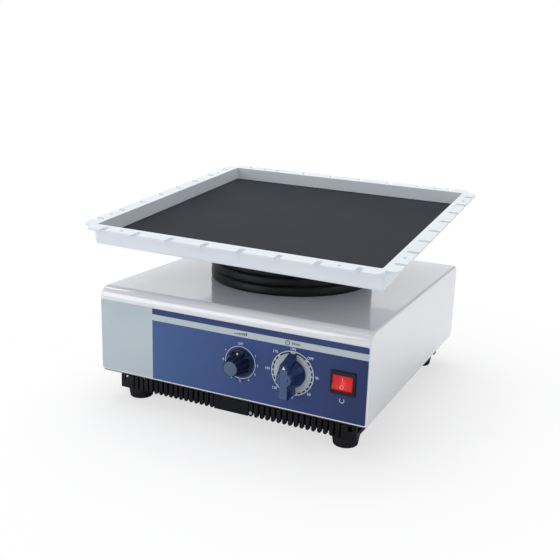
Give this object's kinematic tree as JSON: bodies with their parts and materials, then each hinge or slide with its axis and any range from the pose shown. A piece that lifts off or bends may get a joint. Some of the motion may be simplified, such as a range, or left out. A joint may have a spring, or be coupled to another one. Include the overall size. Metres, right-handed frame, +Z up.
{
  "type": "platform shaker",
  "caption": "Bench-top platform shaker: a square rimmed tray with a rubber mat nutates on a bellows above a box housing with a speed knob, a timer knob and a rocker switch.",
  "frame": {"origin": "where the upright drive axis meets the bench, under the middle of the tray and at the bottom of the feet", "axes": "+Z up, +X to the operator's right, +Y to the rear; the control panel faces -Y"},
  "size_m": [0.3412, 0.3435, 0.2224],
  "materials": {
    "cover_paint": "gloss light grey stove enamel on steel sheet",
    "base_paint": "black coating on steel sheet",
    "runner_plastic": "moulded black plastic",
    "foot_rubber": "moulded black rubber",
    "zinc_steel": "bright zinc plate",
    "overlay_film": "printed polyester film, blue field",
    "component_metal": "pressed steel can",
    "component_plastic": "moulded plastic",
    "switch_plastic": "black moulded plastic",
    "brass_pins": "turned brass",
    "core_steel": "varnished steel laminations",
    "coil_tape": "coil wrapped in tape",
    "board_laminate": "glass-fibre circuit board",
    "sink_aluminium": "machined or extruded aluminium",
    "cast_housing": "machined casting",
    "bearing_steel": "ground steel",
    "motor_metal": "die-cast gearbox and turned can",
    "belt_rubber": "moulded belt",
    "wire_plastic": "insulated leads",
    "tray_coating": "white powder coat on aluminium sheet",
    "mat_rubber": "smooth dark grey rubber",
    "bellows_rubber": "moulded black rubber",
    "knob_plastic": "moulded navy plastic",
    "cap_plastic": "slate inlay",
    "rocker_plastic": "translucent red plastic",
    "fuse_glass": "glass tube"
  },
  "bodies": {
    "base": {"housing_cover": "cover_paint", "base_plate": "base_paint", "front_runner": "runner_plastic", "rear_runner": "runner_plastic", "foot_front_left": "foot_rubber", "foot_front_right": "foot_rubber", "foot_rear_left": "foot_rubber", "foot_rear_right": "foot_rubber", "foot_screws": "zinc_steel", "runner_screws": "zinc_steel", "cover_screws": "zinc_steel", "front_overlay": "overlay_film", "speed_potentiometer": "component_metal", "timer_module": "component_plastic", "control_nuts": "zinc_steel", "switch_housing": "switch_plastic", "power_inlet": "switch_plastic", "inlet_pins": "brass_pins", "inlet_screws": "zinc_steel", "transformer_core": "core_steel", "transformer_coil": "coil_tape", "board_standoffs": "brass_pins", "control_board": "board_laminate", "heat_sink": "sink_aluminium", "board_components": "component_plastic", "drive_frame": "zinc_steel", "bearing_housing": "cast_housing", "shaft_bearings": "bearing_steel", "bearing_rings": "bearing_steel", "drive_screws": "zinc_steel", "chassis_screws": "zinc_steel", "gearmotor": "motor_metal", "drive_belt": "belt_rubber", "wiring": "wire_plastic", "lower_clamp_ring": "zinc_steel", "lower_ring_screws": "zinc_steel"},
    "motor_rotor": {"motor_shaft": "bearing_steel", "motor_pulley": "sink_aluminium"},
    "rotor": {"main_shaft": "bearing_steel", "retaining_ring": "bearing_steel", "drive_pulley": "sink_aluminium", "wobble_hub": "bearing_steel", "wobble_pin": "bearing_steel", "pin_washer": "bearing_steel"},
    "platform": {"tray": "tray_coating", "mat": "mat_rubber", "platform_hub": "sink_aluminium", "platform_bearings": "bearing_steel", "platform_screws": "zinc_steel", "upper_clamp_ring": "zinc_steel", "upper_ring_screws": "zinc_steel"},
    "bellows": {"bellows": "bellows_rubber"},
    "speed_knob": {"speed_knob": "knob_plastic", "speed_knob_cap": "cap_plastic", "speed_spindle": "bearing_steel"},
    "timer_knob": {"timer_knob": "knob_plastic", "timer_spindle": "bearing_steel"},
    "rocker": {"power_rocker": "rocker_plastic"},
    "fuse_drawer": {"fuse_drawer": "switch_plastic", "fuses": "fuse_glass"}
  },
  "joints": [
    {"name": "drive_spin", "type": "hinge", "parent": "base", "child": "rotor", "pos_m": [0, 0, 0.1], "axis": [0, 0, 1], "continuous": true},
    {"name": "platform_twist", "type": "hinge", "parent": "rotor", "child": "platform", "pos_m": [0, 0, 0.2031], "axis": [0.0243, -0.0945, 0.9952], "continuous": true},
    {"name": "bellows_wave", "type": "hinge", "parent": "base", "child": "bellows", "pos_m": [0, 0, 0.13], "axis": [0, 0, 1], "continuous": true},
    {"name": "motor_spin", "type": "hinge", "parent": "base", "child": "motor_rotor", "pos_m": [0, 0.092, 0.05], "axis": [0, 0, 1], "continuous": true},
    {"name": "speed_turn", "type": "hinge", "parent": "base", "child": "speed_knob", "pos_m": [0.0182, -0.1527, 0.0735], "axis": [0, 1, 0], "range_deg": [0, 300]},
    {"name": "timer_turn", "type": "hinge", "parent": "base", "child": "timer_knob", "pos_m": [0.0741, -0.1527, 0.0735], "axis": [0, 1, 0], "range_deg": [0, 315]},
    {"name": "power_press", "type": "hinge", "parent": "base", "child": "rocker", "pos_m": [0.1255, -0.1489, 0.074], "axis": [1, 0, 0], "range_deg": [0, 28]},
    {"name": "fuse_pull", "type": "slide", "parent": "base", "child": "fuse_drawer", "axis": [0, 1, 0], "range_m": [0, 0.02]}
  ],
  "couplings": [
    {"joint": "platform_twist", "follows": "drive_spin", "ratio": -1},
    {"joint": "bellows_wave", "follows": "drive_spin", "ratio": 1},
    {"joint": "motor_spin", "follows": "drive_spin", "ratio": 1.9249}
  ]
}
